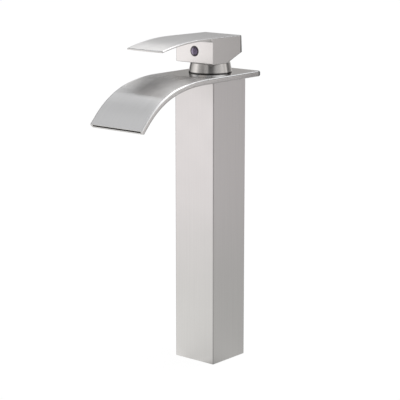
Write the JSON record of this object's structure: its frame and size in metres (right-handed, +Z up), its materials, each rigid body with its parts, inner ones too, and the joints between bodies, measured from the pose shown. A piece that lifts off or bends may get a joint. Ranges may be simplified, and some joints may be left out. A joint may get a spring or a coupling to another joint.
{
  "type": "waterfall basin faucet",
  "caption": "Tall square-column basin faucet with a flat curved waterfall spout and a lever that lifts and swivels over a ceramic disc cartridge.",
  "frame": {"origin": "centre of the foot's underside, on the deck, between the two hose inlets", "axes": "+Z up along the column, the spout and lever point to -Y, +X to the right of someone facing +Y; the user stands at -Y"},
  "size_m": [0.061, 0.1633, 0.3025],
  "materials": {
    "brushed_nickel": "brushed nickel",
    "cast_brass": "cast, as machined",
    "steel": "bright steel",
    "rubber": "matt",
    "white_plastic": "moulded",
    "grey_plastic": "moulded",
    "ceramic": "lapped",
    "violet_plastic": "glossy"
  },
  "bodies": {
    "faucet_body": {"column": "brushed_nickel", "base_gasket": "rubber", "base_block": "cast_brass", "hot_inlet_tube": "steel", "cold_inlet_tube": "steel", "tube_o_rings": "rubber", "valve_body": "cast_brass", "spout_seal": "rubber", "spout_lower_shell": "brushed_nickel", "spout_upper_shell": "brushed_nickel", "bonnet": "brushed_nickel", "bonnet_seal": "rubber", "cartridge_nut": "cast_brass", "cartridge_housing": "white_plastic", "housing_seal": "rubber", "cartridge_base": "white_plastic", "lower_port_seals": "rubber", "upper_port_seals": "rubber", "fixed_disc": "ceramic"},
    "swivel_collar": {"rotating_collar": "grey_plastic", "stem_pivot_pin": "steel"},
    "lever": {"stem": "cast_brass", "handle_lever": "brushed_nickel", "handle_grub_screw": "steel", "index_plug": "violet_plastic"},
    "disc_slider": {"disc_carrier": "grey_plastic", "moving_disc": "ceramic"}
  },
  "joints": [
    {"name": "lever_swivel", "type": "hinge", "parent": "faucet_body", "child": "swivel_collar", "pos_m": [0, 0, 0.2692], "axis": [0, 0, 1], "range_deg": [-45, 45]},
    {"name": "lever_lift", "type": "hinge", "parent": "swivel_collar", "child": "lever", "pos_m": [0, 0, 0.2692], "axis": [-1, 0, 0], "range_deg": [0, 20]},
    {"name": "disc_slide", "type": "slide", "parent": "swivel_collar", "child": "disc_slider", "axis": [0, -1, 0], "range_m": [0, 0.0042]}
  ],
  "couplings": [
    {"joint": "disc_slide", "follows": "lever_lift", "m_per_rad": 0.01194}
  ]
}
